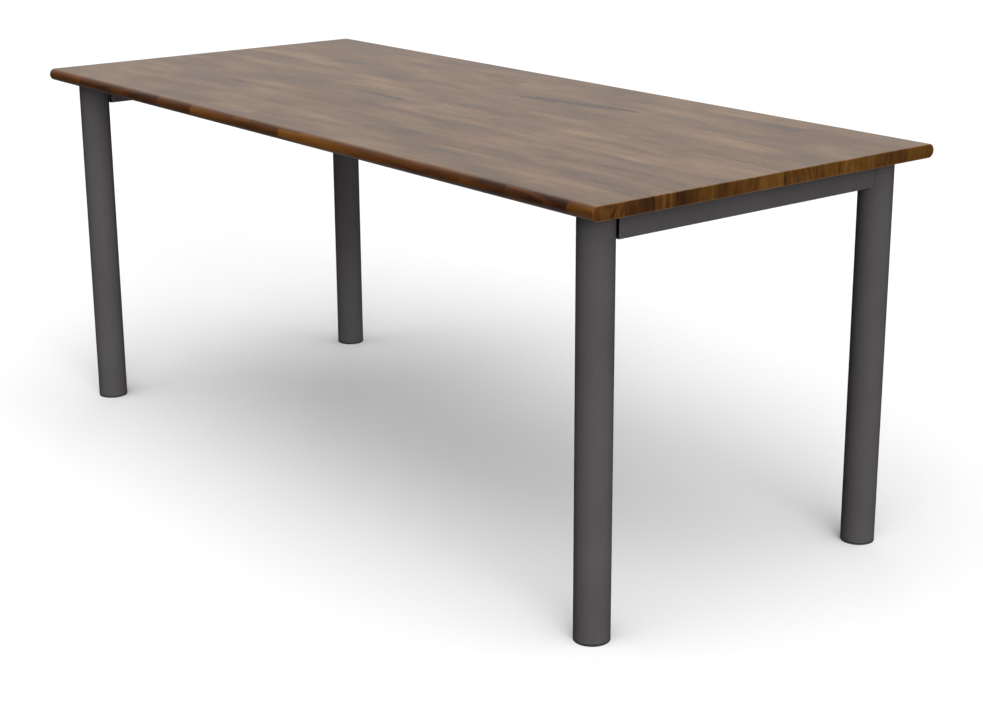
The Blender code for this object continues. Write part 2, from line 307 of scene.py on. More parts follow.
def mark_edges(mesh, near=None):
    """Store the edge value 1 on the corners where near(place) is true, and 0 elsewhere."""
    place, _, _ = corner_layout(mesh)
    set_corner_values(mesh, "edge", near(place) if near else np.zeros(len(place)))


def add_piece(mesh, material, body, replaced):
    """Put a finished mesh in the scene: it rides on its body and stands for its CAD nodes."""
    mesh.materials.append(material)
    piece = bpy.data.objects.new(mesh.name, mesh)
    bpy.context.scene.collection.objects.link(piece)
    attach(piece, body)
    if replaced:
        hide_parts(*replaced)


def box_of(node):
    """A CAD node's box as its middle and its size, in numpy."""
    low, high = (np.array(corner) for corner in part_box(node))
    return (low + high) / 2, high - low


# ---------------------------------------------------------------- shader nodes

def add_node(tree, kind, inputs=None, **settings):
    """Add a node. An input is a socket to link or a value to set, by index or name."""
    made = tree.nodes.new(kind)
    for key, value in settings.items():
        setattr(made, key, value)
    for key, value in (inputs or {}).items():
        if isinstance(value, bpy.types.NodeSocket):
            tree.links.new(value, made.inputs[key])
        else:
            made.inputs[key].default_value = value
    return made


def calc(tree, operation, first, second=0.0, third=0.0, clamp=False):
    """One sum in a Math node."""
    return add_node(tree, "ShaderNodeMath", {0: first, 1: second, 2: third},
                    operation=operation, use_clamp=clamp).outputs[0]


def swing(tree, value, amount, base=0.0):
    """base + (value - 0.5) amount, for a value that plays about one half."""
    return calc(tree, "MULTIPLY_ADD", calc(tree, "SUBTRACT", value, 0.5), amount, base)


def vector_calc(tree, operation, first, second, output="Vector"):
    """One sum in a Vector Math node. The second input of SCALE is a number."""
    key = "Scale" if operation == "SCALE" else 1
    return add_node(tree, "ShaderNodeVectorMath", {0: first, key: second},
                    operation=operation).outputs[output]


def spread(tree, value, low, high, out_low=0.0, out_high=1.0, smooth=False):
    """Map a value's range to another, clamped."""
    return add_node(tree, "ShaderNodeMapRange", {0: value, 1: low, 2: high, 3: out_low, 4: out_high},
                    interpolation_type="SMOOTHSTEP" if smooth else "LINEAR").outputs[0]


def vector(tree, x, y, z):
    """Join three numbers."""
    return add_node(tree, "ShaderNodeCombineXYZ", {0: x, 1: y, 2: z}).outputs[0]


def noise(tree, place, scale=1.0, detail=2.0, roughness=0.5, distortion=0.0):
    """A 3-D noise from 0 to 1."""
    return add_node(tree, "ShaderNodeTexNoise",
                    {"Vector": place, "Scale": scale, "Detail": detail, "Roughness": roughness,
                     "Distortion": distortion}).outputs["Fac"]


def blend_colour(tree, share, first, second, kind="MIX"):
    """Mix two colours by the second one's share."""
    return add_node(tree, "ShaderNodeMix", {0: share, 6: first, 7: second},
                    data_type="RGBA", blend_type=kind).outputs[2]


def attribute(tree, name):
    """A number stored on the piece's own mesh."""
    return add_node(tree, "ShaderNodeAttribute", attribute_name=name).outputs["Fac"]


def object_place(tree):
    """The place on the piece in object coordinates."""
    return add_node(tree, "ShaderNodeTexCoord").outputs["Object"]


def new_group(name, inputs, outputs):
    """Start a shader node group with named sockets. Each input is (name, kind, default)."""
    group = bpy.data.node_groups.new(name, "ShaderNodeTree")
    for label, kind, default in inputs:
        socket = group.interface.new_socket(label, in_out="INPUT", socket_type=kind)
        if default is not None:
            socket.default_value = default
    for label, kind in outputs:
        group.interface.new_socket(label, in_out="OUTPUT", socket_type=kind)
    return group, group.nodes.new("NodeGroupInput").outputs, group.nodes.new("NodeGroupOutput").inputs


def use_group(tree, name, maker, inputs):
    """Place the named group, made the first time it is asked for, with this material's values."""
    group = bpy.data.node_groups.get(name) or maker(name)
    return add_node(tree, "ShaderNodeGroup", inputs, node_tree=group).outputs


FLOAT, VECTOR = "NodeSocketFloat", "NodeSocketVector"


def make_grain_group(name):
    """Wood grain: growth bands, fibres, pores and broad figure, all long in X.

    The growth bands are planes that lean by Lean about X and drift with a slow noise, so that a
    long face shows streaks and an end face shows upright stripes. Each stave has its own Seed.
    """
    tree, given, made = new_group(
        name,
        [("Place", VECTOR, None), ("Seed", FLOAT, 0.0), ("Lean", FLOAT, 0.3),
         ("Band Width", FLOAT, 0.005)],
        [("Bands", FLOAT), ("Fibres", FLOAT), ("Pores", FLOAT), ("Figure", FLOAT)],
    )
    x, y, z = add_node(tree, "ShaderNodeSeparateXYZ", {0: given["Place"]}).outputs
    shift = calc(tree, "MULTIPLY", given["Seed"], 37.0)

    def stretched(along, across, side_shift=0.0):
        """The place scaled along X and across it, and shifted by the stave's seed."""
        return vector(tree, calc(tree, "MULTIPLY_ADD", x, along, shift),
                      calc(tree, "MULTIPLY_ADD", y, across, side_shift),
                      calc(tree, "MULTIPLY", z, across))

    drift = swing(tree, noise(tree, stretched(3.2, 9.0), detail=1.0), 0.028)
    plane = calc(tree, "MULTIPLY_ADD", y, calc(tree, "COSINE", given["Lean"]), drift)
    plane = calc(tree, "MULTIPLY_ADD", z, calc(tree, "SINE", given["Lean"]), plane)
    plane = calc(tree, "DIVIDE", plane, given["Band Width"])
    band_place = vector(tree, calc(tree, "MULTIPLY_ADD", x, 1.1, shift), plane, shift)
    pores = noise(tree, stretched(110.0, 2300.0), detail=1.0)
    values = {
        "Bands": noise(tree, band_place, detail=3.0, roughness=0.62),
        "Fibres": noise(tree, stretched(26.0, 900.0), detail=2.0, roughness=0.6),
        "Pores": spread(tree, pores, 0.60, 0.70),
        "Figure": noise(tree, stretched(4.0, 22.0, shift), detail=3.0, roughness=0.55, distortion=0.4),
    }
    for label, value in values.items():
        tree.links.new(value, made[label])
    return tree


def make_streak_group(name):
    """A dark mineral streak: 1 on the line from Start along Along, and 0 a Width away from it.

    The mask is 1 - smooth(d / Width), where d is the distance to the segment. The width tapers to
    both ends, and a noise frays the line.
    """
    tree, given, made = new_group(
        name,
        [("Place", VECTOR, None), ("Start", VECTOR, None), ("Along", VECTOR, None),
         ("Width", FLOAT, 0.01)],
        [("Mask", FLOAT)],
    )
    along = given["Along"]
    fray = noise(tree, vector_calc(tree, "MULTIPLY", given["Place"], (16.0, 90.0, 90.0)), detail=2.0)
    offset = vector_calc(tree, "SUBTRACT", given["Place"], given["Start"])
    share = calc(tree, "DIVIDE", vector_calc(tree, "DOT_PRODUCT", offset, along, "Value"),
                 vector_calc(tree, "DOT_PRODUCT", along, along, "Value"), clamp=True)
    nearest = vector_calc(tree, "SCALE", along, share)
    away = vector_calc(tree, "DISTANCE", offset, nearest, "Value")
    ends = calc(tree, "MULTIPLY", share, calc(tree, "SUBTRACT", 1.0, share))
    taper = calc(tree, "MULTIPLY_ADD", calc(tree, "SQRT", ends), 1.6, 0.2)
    distance = calc(tree, "DIVIDE", away, calc(tree, "MULTIPLY", given["Width"], taper))
    mask = spread(tree, swing(tree, fray, 1.7, distance), 0.0, 1.0, 1.0, 0.0, smooth=True)
    tree.links.new(mask, made["Mask"])
    return tree


def make_wear_group(name):
    """Edge wear: the piece's own edge value, broken up by a noise."""
    tree, given, made = new_group(
        name,
        [("Place", VECTOR, None), ("Edge", FLOAT, 0.0), ("Grain Size", FLOAT, 0.004),
         ("Amount", FLOAT, 1.0)],
        [("Mask", FLOAT)],
    )
    broken = noise(tree, given["Place"], scale=calc(tree, "DIVIDE", 1.0, given["Grain Size"]), detail=3.0)
    mask = calc(tree, "MULTIPLY", given["Edge"], spread(tree, broken, 0.35, 0.65))
    mask = calc(tree, "MULTIPLY", mask, given["Amount"], clamp=True)
    tree.links.new(mask, made["Mask"])
    return tree


def make_skin_group(name):
    """Fine pebbled skin of a coating or moulding, with slow soiling over it."""
    tree, given, made = new_group(
        name,
        [("Place", VECTOR, None), ("Pebble Size", FLOAT, 0.0012), ("Soil Size", FLOAT, 0.12)],
        [("Pebbles", FLOAT), ("Soil", FLOAT)],
    )
    noises = (("Pebbles", "Pebble Size", 2.0, 0.55), ("Soil", "Soil Size", 4.0, 0.6))
    for label, size, detail, roughness in noises:
        scale = calc(tree, "DIVIDE", 1.0, given[size])
        tree.links.new(noise(tree, given["Place"], scale, detail, roughness), made[label])
    return tree


def wear_mask(tree, place, grain_size, amount):
    """Where the piece's own edges are rubbed."""
    return use_group(tree, "edge_wear", make_wear_group, {
        "Place": place, "Edge": attribute(tree, "edge"), "Grain Size": grain_size, "Amount": amount})["Mask"]


def fine_skin(tree, place, pebble_size, soil_size):
    """The pebbles and the soil of a coated, moulded or plated piece."""
    made = use_group(tree, "fine_skin", make_skin_group, {
        "Place": place, "Pebble Size": pebble_size, "Soil Size": soil_size})
    return made["Pebbles"], made["Soil"]


def new_material(name):
    """A material with only a Principled shader and its output."""
    material = bpy.data.materials.new(name)
    material.use_nodes = True
    return material, material.node_tree, material.node_tree.nodes["Principled BSDF"]


def link_bump(tree, shader, height, distance, strength):
    """Feed a height to the shader's normal."""
    bump = add_node(tree, "ShaderNodeBump", {"Strength": strength, "Distance": distance, "Height": height})
    tree.links.new(bump.outputs["Normal"], shader.inputs["Normal"])


def solid(rgb):
    """A colour with full alpha."""
    return (*rgb, 1.0)


def shaded(tree, rgb, shade):
    """A colour that is darkened or lightened by a shade about 1."""
    return blend_colour(tree, 1.0, solid(rgb), vector(tree, shade, shade, shade), "MULTIPLY")


# Patches and crests of the zinc plating, and the plastic where it is rubbed, in linear light.
COOL_ZINC, WARM_ZINC, BRIGHT_ZINC = (0.50, 0.53, 0.58), (0.62, 0.58, 0.47), (0.80, 0.80, 0.78)
RUBBED_PLASTIC = (0.09, 0.09, 0.09)

# Mineral streaks: start and run in metres, half width, and share of the full depth. The first ones
# lie in the top face, and the others cross the end grain on the right.
STREAK_DEPTH = 0.62
STREAKS = (
    ((0.04, 0.165, TOP_HEIGHT), (0.30, 0.05, 0.0), 0.021, 0.85),
    ((-0.23, -0.040, TOP_HEIGHT), (0.17, -0.006, 0.0), 0.015, 0.60),
    ((0.50, -0.030, TOP_HEIGHT), (0.14, -0.010, 0.0), 0.010, 0.35),
    ((-0.55, -0.170, TOP_HEIGHT), (0.20, 0.012, 0.0), 0.011, 0.30),
    ((-0.84, 0.180, TOP_HEIGHT), (0.18, 0.008, 0.0), 0.014, 0.35),
    ((0.66, -0.180, TOP_HEIGHT), (0.16, 0.010, 0.0), 0.014, 0.35),
    ((0.90, -0.362, 0.727), (0.0, 0.012, 0.020), 0.0030, 1.00),
    ((0.90, -0.342, 0.727), (0.0, 0.006, 0.020), 0.0024, 0.80),
    ((0.90, 0.018, 0.727), (0.0, 0.001, 0.021), 0.0022, 0.90),
    ((0.90, 0.096, 0.727), (0.0, -0.001, 0.021), 0.0022, 0.80),
    ((0.90, 0.152, 0.727), (0.0, 0.001, 0.021), 0.0024, 0.90),
)


def make_walnut(settings):
    """Oiled walnut, from dark to light by one depth of tone.

    The depth is the stave's own tone, plus growth bands, figure, fibres and broad clouds over the
    whole top, less the mineral streaks. Where the surface turns to a side, the tone and the bands
    get stronger, the clouds weaker, and the colour is darkened by a tint as painted shade.
    """
    material, tree, shader = new_material("oiled_walnut_staves")
    place = object_place(tree)
    side = attribute(tree, "side")
    seed = attribute(tree, "stave_seed")

    def by_side(on_face, on_side):
        """A number that goes from the flat faces to the sides."""
        return spread(tree, side, 0.0, 1.0, on_face, on_side)

    second_seed = calc(tree, "FRACT", calc(tree, "MULTIPLY", seed, 7.3))
    grain = use_group(tree, "wood_grain", make_grain_group, {
        "Place": place, "Seed": seed, "Lean": spread(tree, seed, 0.0, 1.0, -0.35, 0.35),
        "Band Width": spread(tree, second_seed, 0.0, 1.0, 0.0075, 0.0040)})
    tone = calc(tree, "MULTIPLY", attribute(tree, "stave_tone"), by_side(0.32, 1.35))
    x, y, _ = add_node(tree, "ShaderNodeSeparateXYZ", {0: place}).outputs
    cloud_place = vector(tree, calc(tree, "MULTIPLY", x, 3.4), calc(tree, "MULTIPLY", y, 12.0), 0.0)
    clouds = noise(tree, cloud_place, detail=4.0, roughness=0.6, distortion=0.3)
    depth = calc(tree, "MULTIPLY_ADD", tone, 0.30, 0.51)
    depth = swing(tree, grain["Bands"], by_side(0.45, 1.50), depth)
    depth = swing(tree, grain["Figure"], by_side(1.10, 0.90), depth)
    depth = swing(tree, grain["Fibres"], 0.28, depth)
    depth = swing(tree, clouds, by_side(1.30, 0.30), depth)
    for start, run, width, strength in STREAKS:
        mask = use_group(tree, "mineral_streak", make_streak_group, {
            "Place": place, "Start": start, "Along": run, "Width": width})["Mask"]
        depth = calc(tree, "MULTIPLY_ADD", mask, -STREAK_DEPTH * strength, depth)
    ramp = add_node(tree, "ShaderNodeValToRGB", {0: depth})
    stops = ramp.color_ramp.elements
    stops[0].position, stops[0].color = 0.0, solid(settings.dark_wood)
    stops[1].position, stops[1].color = 1.0, solid(settings.light_wood)
    stops.new(0.5).color = solid(settings.middle_wood)
    pore_dark = calc(tree, "MULTIPLY", grain["Pores"], 0.45)
    wood = blend_colour(tree, pore_dark, ramp.outputs["Color"], solid(settings.dark_wood))
    wood = blend_colour(tree, wear_mask(tree, place, 0.02, 0.5), wood, solid(settings.light_wood))
    # Painted shade: where the side value is 1, on the noses and end caps, the colour is multiplied by the
    # edge or the end tint.
    side_shade_tint = blend_colour(tree, attribute(tree, "end_grain"),
                          solid(settings.edge_shade_tint), solid(settings.end_shade_tint))
    wood = blend_colour(tree, side, wood, side_shade_tint, "MULTIPLY")
    tree.links.new(wood, shader.inputs["Base Color"])
    rough = swing(tree, grain["Figure"], 0.12, settings.roughness)
    rough = calc(tree, "MULTIPLY_ADD", grain["Pores"], 0.15, rough)
    tree.links.new(rough, shader.inputs["Roughness"])
    height = calc(tree, "MULTIPLY_ADD", grain["Fibres"], 0.35, calc(tree, "MULTIPLY", grain["Pores"], -0.6))
    link_bump(tree, shader, height, 0.00012, 0.5)
    shader.inputs["IOR"].default_value = 1.5
    return material


def make_coating(settings):
    """Charcoal powder coating: pebbled skin, faint mottling and rubbed edges."""
    material, tree, shader = new_material("charcoal_powder_coating")
    place = object_place(tree)
    pebbles, soil = fine_skin(tree, place, 0.0016, 0.18)
    shade = calc(tree, "MULTIPLY", spread(tree, soil, 0.3, 0.7, 0.90, 1.10),
                 spread(tree, pebbles, 0.3, 0.7, 0.93, 1.06))
    coat = blend_colour(tree, wear_mask(tree, place, 0.006, 0.7),
                        shaded(tree, settings.coating, shade), solid(settings.worn))
    tree.links.new(coat, shader.inputs["Base Color"])
    rough = spread(tree, soil, 0.3, 0.7, settings.roughness - 0.05, settings.roughness + 0.05)
    tree.links.new(rough, shader.inputs["Roughness"])
    link_bump(tree, shader, pebbles, 0.00008, 0.35)
    shader.inputs["Specular IOR Level"].default_value = 0.005
    return material


def make_plastic(settings):
    """Black moulded plastic: fine spark texture and paler rubbed edges."""
    material, tree, shader = new_material("black_foot_plastic")
    place = object_place(tree)
    pebbles, soil = fine_skin(tree, place, 0.0005, 0.03)
    base = blend_colour(tree, wear_mask(tree, place, 0.003, 0.8),
                        shaded(tree, settings.plastic, spread(tree, soil, 0.3, 0.7, 0.85, 1.2)),
                        solid(RUBBED_PLASTIC))
    tree.links.new(base, shader.inputs["Base Color"])
    tree.links.new(spread(tree, pebbles, 0.3, 0.7, 0.48, 0.62), shader.inputs["Roughness"])
    link_bump(tree, shader, pebbles, 0.00004, 0.5)
    return material


def make_zinc(settings):
    """Zinc plating: cool and warm patches, fine pebbling and brighter crests."""
    material, tree, shader = new_material("zinc_plated_steel")
    place = object_place(tree)
    pebbles, soil = fine_skin(tree, place, 0.0007, 0.012)
    tint = blend_colour(tree, spread(tree, soil, 0.35, 0.65), solid(COOL_ZINC), solid(WARM_ZINC))
    base = blend_colour(tree, 0.45, solid(settings.zinc), tint)
    base = blend_colour(tree, wear_mask(tree, place, 0.002, 0.8), base, solid(BRIGHT_ZINC))
    tree.links.new(base, shader.inputs["Base Color"])
    shader.inputs["Metallic"].default_value = 1.0
    tree.links.new(spread(tree, pebbles, 0.3, 0.7, 0.26, 0.42), shader.inputs["Roughness"])
    link_bump(tree, shader, pebbles, 0.00003, 0.4)
    return material


def shared_material(name, maker, settings):
    """The named material, made the first time it is asked for."""
    return bpy.data.materials.get(name) or maker(settings)


# ---------------------------------------------------------------- walnut top

# Steps of a nose's half circle, and how far a support point lies from the edge that it holds.
NOSE_STEPS = 24
SUPPORT = 0.7 * MM

# The front strip's staves: where each ends along X, and its tone at its left and right end.
FRONT_STAVES = (
    (-0.755, 0.00, 0.00),
    (-0.565, -0.20, -0.35),
    (-0.420, 0.05, -0.60),
    (-0.290, 0.15, -0.85),
    (-0.130, 0.20, -0.05),
    (-0.070, 0.00, -0.45),
    (0.030, -0.50, -0.25),
    (0.100, 0.30, 0.00),
    (0.480, 0.45, -0.25),
    (0.575, -0.50, -0.70),
    (0.690, 0.00, -1.10),
    (0.840, 0.25, -1.20),
    (0.900, -0.05, 0.00),
)


def stave_plan(rng, settings, low, high, front):
    """Where the staves of one strip end, and each one's tones and seed."""
    if front:
        ends, left, right = np.array(FRONT_STAVES).T
        ends[-1] = high
    else:
        lengths = rng.uniform(settings.shortest_stave, settings.longest_stave, 24)
        ends = low + np.cumsum(lengths) - rng.uniform(0.0, settings.shortest_stave)
        ends = ends[ends < high - settings.shortest_stave * 0.6]
        ends = np.append(ends, high)
        left = np.clip(rng.normal(0.0, 0.33, len(ends)), -0.7, 0.7)
        right = np.clip(left + rng.normal(0.0, 0.12, len(ends)), -0.8, 0.8)
    return ends, left, right, rng.random(len(ends))


def strip_section(low_y, high_y, radius, arris, nose_low, nose_high):
    """Cross-section of a strip: its points (y, height) and how each moves per metre of inset.

    A nose is the half circle middle + radius (cos t, sin t). A glued side is upright with a tiny
    45 degree arris above and below. A support point beside each keeps the flat faces' shading
    flat. The inset moves a nose point to its centre, and any other point straight to the middle
    height.
    """
    parts, moves = [], []

    def add(points, move):
        parts.append(np.asarray(points, float))
        moves.append(np.broadcast_to(np.asarray(move, float), parts[-1].shape))

    def add_nose(centre, start):
        nose = arc(centre, radius, start, start + pi, NOSE_STEPS)
        add(nose, (centre - nose) / radius)

    down, up = (0.0, -1.0), (0.0, 1.0)
    if nose_low:
        add_nose((low_y + radius, 0.0), pi / 2)
        add([(low_y + radius + SUPPORT, -radius)], up)
    else:
        side = [(low_y + arris + SUPPORT, radius), (low_y + arris, radius), (low_y, radius - arris)]
        add(side, down)
        add([(y, -height) for y, height in reversed(side)], up)
    if nose_high:
        add([(high_y - radius - SUPPORT, -radius)], up)
        add_nose((high_y - radius, 0.0), -pi / 2)
        add([(high_y - radius - SUPPORT, radius)], down)
    else:
        side = [(high_y, radius - arris), (high_y - arris, radius), (high_y - arris - SUPPORT, radius)]
        add([(y, -height) for y, height in reversed(side)], up)
        add(side, down)
    if nose_low:
        add([(low_y + radius + SUPPORT, radius)], down)
    return np.concatenate(parts), np.concatenate(moves)


def make_strip(name, node, neighbours, settings, material, rng):
    """One strip of staves, from one short end to the other.

    The surface is section(p) + inset(x) move(p) carried along X. The inset is a quarter circle
    at both ends and a hairline V where two staves meet.
    """
    middle, size = box_of(node)
    below, above = neighbours
    low_y = middle[1] - size[1] / 2 if below is None else below
    high_y = middle[1] + size[1] / 2 if above is None else above
    half, radius = size[0] / 2, size[2] / 2
    section, move = strip_section(low_y, high_y, radius, settings.arris, below is None, above is None)
    ends, tone_left, tone_right, seeds = stave_plan(rng, settings, -half, half, below is None)

    eased, wide, joints = settings.end_easing, settings.joint_width, ends[:-1]
    easing = arc((0.0, 0.0), eased, 0.0, pi / 2, 5)
    rows = [(half - eased + easing[:, 1], eased - easing[:, 0]),
            (np.array([half - 2 * eased]), np.zeros(1))]
    rows += [(-x, inset) for x, inset in rows]
    rows += [(joints + wide * step, np.full(len(joints), settings.joint_depth * (step == 0)))
             for step in (-3, -1, 0, 1, 3)]
    x, inset = (np.concatenate(values) for values in zip(*rows))
    order = np.argsort(x, kind="stable")
    x, inset = x[order], inset[order]
    points = np.empty((len(x), len(section), 3))
    points[..., 0] = x[:, None]
    points[..., 1:] = section[None] + inset[:, None, None] * move[None]
    points[..., 2] += middle[2]
    mesh = grid_mesh(name, points)

    place, face_middle, face_normal = corner_layout(mesh)
    stave = np.clip(np.searchsorted(ends, face_middle[:, 0]), 0, len(ends) - 1)
    starts = np.concatenate([[-half], joints])
    share = np.clip((place[:, 0] - starts[stave]) / (ends - starts)[stave], 0.0, 1.0)
    cap = np.abs(face_normal[:, 0]) > 0.999
    outward = np.abs(place[:, 2] - middle[2]) / radius
    set_corner_values(mesh, "stave_tone", tone_left[stave] * (1 - share) + tone_right[stave] * share)
    set_corner_values(mesh, "stave_seed", seeds[stave])
    set_corner_values(mesh, "edge", (half - np.abs(place[:, 0]) < eased * 0.9) & ~cap)
    set_corner_values(mesh, "end_grain", cap)
    # The side value is 1 on the end caps and the middle of each nose, and 0 on the top and bottom faces; the
    # walnut paints shade by it.
    set_corner_values(mesh, "side", np.where(cap, 1.0, 1.0 - smooth_step(outward, 0.84, 0.99)))
    add_piece(mesh, material, "table", (node,))


class BUTCHER_OT_top(Operator):
    """Build the walnut top from its strips of staves"""

    bl_idname = "butcher_table.build_top"
    bl_label = "Build Walnut Top"

    def execute(self, context):
        settings = context.scene.butcher_table_top
        material = shared_material("oiled_walnut_staves", make_walnut, settings)
        rng = np.random.default_rng(settings.seed)
        boxes = [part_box(node) for node in STRIPS]
        seams = [(first[1].y + second[0].y) / 2 for first, second in zip(boxes, boxes[1:])]
        if not seams:
            raise RuntimeError("the frame has no strips for the top")
        hair = 0.01 * MM
        for number, node in enumerate(STRIPS):
            below = seams[number - 1] + hair if number else None
            above = seams[number] - hair if number < len(seams) else None
            make_strip(f"walnut_strip_{number + 1:02d}", node, (below, above), settings, material, rng)
        return {"FINISHED"}


# ---------------------------------------------------------------- coated steel

STEEL_WALL = 1.5 * MM


def tube_ring(outer, inner, low, high, easing):
    """Closed ring section of a tube's wall, as (distance out, height) with eased rims."""
    return np.concatenate([
        arc((outer - easing, low + easing), easing, -pi / 2, 0.0, 3),
        [(outer, low + 3 * easing), (outer, high - 3 * easing)],
        arc((outer - easing, high - easing), easing, 0.0, pi / 2, 3),
        [(inner, high), (inner, low)],
    ])


class BUTCHER_OT_legs(Operator):
    """Build the four round steel legs"""

    bl_idname = "butcher_table.build_legs"
    bl_label = "Build Legs"

    def execute(self, context):
        settings = context.scene.butcher_table_steel
        material = shared_material("charcoal_powder_coating", make_coating, settings)
        for corner in CORNERS:
            middle, size = box_of(f"leg_{corner}")
            radius = size[0] / 2
            low, high = middle[2] - size[2] / 2, middle[2] + size[2] / 2
            points = turned(tube_ring(radius, radius - STEEL_WALL, low, high, settings.rim_easing), 96)
            points[..., :2] += middle[:2]
            mesh = grid_mesh(f"steel_leg_{corner}", points, ring=True)
            mark_edges(mesh, lambda place: place[:, 2] < low + 1.5 * settings.rim_easing)
            add_piece(mesh, material, "table", (f"leg_{corner}",))
        return {"FINISHED"}


class BUTCHER_OT_plates(Operator):
    """Build the plates and weld beads at the heads of the legs"""

    bl_idname = "butcher_table.build_plates"
    bl_label = "Build Leg Plates"

    def execute(self, context):
        settings = context.scene.butcher_table_steel
        material = shared_material("charcoal_powder_coating", make_coating, settings)
        for corner in CORNERS:
            self.build_plate(corner, material)
            self.build_weld(corner, settings, material)
        return {"FINISHED"}

    def build_plate(self, corner, material):
        """A square plate with round corners and a round hole; each outline is inset by its easing."""
        middle, size = box_of(f"leg_plate_{corner}")
        steps, easing, corner_radius = 12, 0.4 * MM, 8 * MM
        low, high = middle[2] - size[2] / 2, middle[2] + size[2] / 2
        hole = round_hole(20.0 * MM, steps)

        def outline(inset):
            return rounded_rectangle(size[0] - 2 * inset, size[1] - 2 * inset, corner_radius - inset, steps)

        outlines = [outline(easing), outline(0.0), outline(0.0), outline(easing),
                    outline(3 * easing), hole, hole, outline(3 * easing)]
        heights = [low, low + easing, high - easing, high, high, high, low, low]
        points = lofted(outlines, heights)
        points[..., :2] += middle[:2]
        mesh = grid_mesh(f"welded_plate_{corner}", points, ring=True)
        reach = size[0] / 2 - easing
        mark_edges(mesh, lambda place: np.abs(place[:, :2] - middle[:2]).max(axis=1) > reach)
        add_piece(mesh, material, "table", (f"leg_plate_{corner}",))

    def build_weld(self, corner, settings, material):
        """A weld bead round the leg's head: a torus whose thickness ripples and thins at the rail.

        Its upper half is flattened, because the plate is there.
        """
        leg, size = box_of(f"leg_{corner}")
        turn, bend = turns(240), turns(14)
        inwards = -np.sign(leg[1]) * pi / 2
        ripple = 1.0 + 0.09 * np.abs(np.sin(turn * 31.0 + 0.5 * np.sin(3.0 * turn)))
        thin = 1.0 - 0.6 * smooth_step(np.cos(turn - inwards), 0.70, 0.85)
        thick = (settings.weld_size * ripple * thin)[:, None]
        out = size[0] / 2 - 0.4 * MM + thick * np.cos(bend)
        drop, rise = -np.clip(np.sin(bend), -1.0, 0.0), np.clip(np.sin(bend), 0.0, 1.0)
        points = np.empty((len(turn), len(bend), 3))
        points[..., :2] = leg[:2] + out[..., None] * circle(turn)[:, None]
        points[..., 2] = leg[2] + size[2] / 2 - 0.1 * MM - thick * drop + 0.3 * MM * rise
        mesh = grid_mesh(f"weld_bead_{corner}", points, ring=True)
        mark_edges(mesh)
        add_piece(mesh, material, "table", ())


class BUTCHER_OT_rails(Operator):
    """Build the rectangular rail under each end of the top"""

    bl_idname = "butcher_table.build_rails"
    bl_label = "Build End Rails"

    def execute(self, context):
        settings = context.scene.butcher_table_steel
        material = shared_material("charcoal_powder_coating", make_coating, settings)
        corner_radius, easing, steps = 2.5 * MM, 0.4 * MM, 8
        for end in ENDS:
            middle, size = box_of(f"crossbar_{end}")
            outer, eased, inner = (
                rounded_rectangle(size[0] - 2 * inset, size[2] - 2 * inset, radius, steps)
                for inset, radius in ((0.0, corner_radius), (easing, corner_radius - easing),
                                      (STEEL_WALL, corner_radius - 0.5 * STEEL_WALL)))
            half = size[1] / 2
            section = lofted([eased, outer, outer, outer, outer, eased, inner, inner],
                             [-half, easing - half, 3 * easing - half,
                              half - 3 * easing, half - easing, half, half, -half])
            mesh = grid_mesh(f"end_rail_{end}", section[..., [0, 2, 1]] + middle, ring=True)
            reach = half - 1.5 * easing
            mark_edges(mesh, lambda place: np.abs(place[:, 1]) > reach)
            add_piece(mesh, material, "table", (f"crossbar_{end}",))
        return {"FINISHED"}


# ---------------------------------------------------------------- fittings

# The rings of a screw's head, as shares of its radius.
HEAD_RINGS = (0.04, 0.11, 0.17, 0.24, 0.31, 0.38, 0.45, 0.52, 0.60, 0.70, 0.82, 0.92, 0.98, 1.0)


def recess(kind, x, y, width):
    """Depth share of a drive recess at (x, y): a cross of two bars, or a hexagon."""
    if kind == "cross":
        def bar(along, across):
            return (1.0 - smooth_step(np.abs(across), 0.13 * width, 0.19 * width)) * \
                (1.0 - smooth_step(np.abs(along), 0.40 * width, 0.52 * width))

        return np.maximum(bar(y, x), bar(x, y))
    sides = [np.abs(x * np.cos(k * pi / 3) + y * np.sin(k * pi / 3)) for k in range(3)]
    return 1.0 - smooth_step(np.max(sides, axis=0), 0.46 * width, 0.50 * width)


def headed_screw(head_radius, head_height, shank_radius, reach, pitch,
                 kind, drive, depth, dome=0.0, taper=0.0):
    """A headed screw along +Z: its head is below zero and its shank ends at reach.

    Head: height(r, t) = -head_height + dome (r / R)^2.5 + depth recess(x, y). Shank: r(t, z) =
    (root + (crest - root) ridge(t, z)) narrowed over the last part by the taper, or by a short
    chamfer where there is none.
    """
    count, threads_from, chamfer = 36, 0.4 * MM, 0.8 * MM
    turn = turns(count)
    head_r = head_radius * np.array(HEAD_RINGS)[:, None]
    x, y = head_r * np.cos(turn), head_r * np.sin(turn)
    head_z = -head_height + dome * (head_r / head_radius) ** 2.5 + depth * recess(kind, x, y, drive)
    rim = turned([(head_radius, -0.12 * MM), (head_radius - 0.12 * MM, 0.0), (shank_radius, 0.0)], count)
    z = np.linspace(threads_from, reach, int(round((reach - 0.5 * MM) / pitch * 7)))[:, None]
    left = reach - z
    narrow = np.clip(left / taper, 0.06, 1.0) if taper else np.clip(left / chamfer + 0.75, 0.0, 1.0)
    root = 0.80 * shank_radius
    r = (root + (shank_radius - root) * thread_ridge(turn, z, pitch)) * narrow
    return np.concatenate([wrapped(head_r, turn, head_z), rim, wrapped(r, turn, z)])


